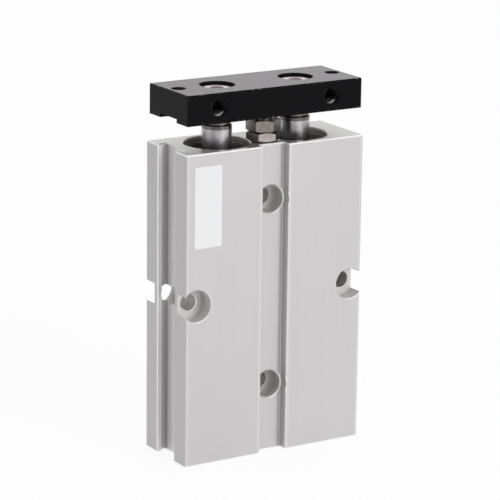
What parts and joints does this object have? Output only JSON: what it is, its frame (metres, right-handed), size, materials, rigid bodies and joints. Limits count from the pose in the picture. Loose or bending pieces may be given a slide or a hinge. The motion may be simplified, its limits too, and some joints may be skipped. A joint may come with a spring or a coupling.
{
  "type": "guided pneumatic cylinder",
  "caption": "Compact pneumatic cylinder with parallel piston rods in a flat extruded barrel, driving an end plate with an adjustable stop bolt.",
  "frame": {"origin": "centre of the barrel's rear end face, on which the cylinder stands", "axes": "+Z along the rods from the barrel to the end plate, +X across the two bores from the sensor slot to the air ports, -Y out of the front face that the end plate's tapped holes face"},
  "size_m": [0.054, 0.021, 0.0993],
  "materials": {
    "clear_anodised": "fine-brushed clear anodised extrusion",
    "black_anodised": "satin black anodised",
    "dark_alloy": "dark anodised, turned",
    "plain_alloy": "turned",
    "rod_steel": "ground and hard-plated",
    "screw_steel": "bright nickel plated",
    "plated_steel": "satin nickel plated",
    "spring_steel": "phosphated spring steel",
    "bronze": "oil-filled sintered bronze",
    "seal_rubber": "nitrile rubber",
    "bumper_plastic": "polyurethane",
    "wear_plastic": "filled PTFE",
    "magnet": "sintered magnet"
  },
  "bodies": {
    "barrel": {"barrel": "clear_anodised", "rear_cap_left": "dark_alloy", "rear_cap_ring_left": "seal_rubber", "rear_circlip_left": "spring_steel", "rear_bumper_left": "bumper_plastic", "front_guide_left": "dark_alloy", "guide_bush_left": "bronze", "rod_seal_left": "seal_rubber", "wiper_left": "seal_rubber", "front_guide_ring_left": "seal_rubber", "front_circlip_left": "spring_steel", "front_bumper_left": "bumper_plastic", "rear_cap_right": "dark_alloy", "rear_cap_ring_right": "seal_rubber", "rear_circlip_right": "spring_steel", "rear_bumper_right": "bumper_plastic", "front_guide_right": "dark_alloy", "guide_bush_right": "bronze", "rod_seal_right": "seal_rubber", "wiper_right": "seal_rubber", "front_guide_ring_right": "seal_rubber", "front_circlip_right": "spring_steel", "front_bumper_right": "bumper_plastic"},
    "carriage": {"end_plate": "black_anodised", "stop_bolt": "plated_steel", "stop_bolt_nut": "plated_steel", "rod_left": "rod_steel", "piston_front_left": "plain_alloy", "piston_rear_left": "plain_alloy", "magnet_left": "magnet", "piston_seal_left": "seal_rubber", "wear_ring_left": "wear_plastic", "piston_nut_left": "plated_steel", "plate_screw_left": "screw_steel", "rod_right": "rod_steel", "piston_front_right": "plain_alloy", "piston_rear_right": "plain_alloy", "magnet_right": "magnet", "piston_seal_right": "seal_rubber", "wear_ring_right": "wear_plastic", "piston_nut_right": "plated_steel", "plate_screw_right": "screw_steel"}
  },
  "joints": [
    {"name": "rod_slide", "type": "slide", "parent": "barrel", "child": "carriage", "axis": [0, 0, 1], "range_m": [0, 0.025]}
  ]
}
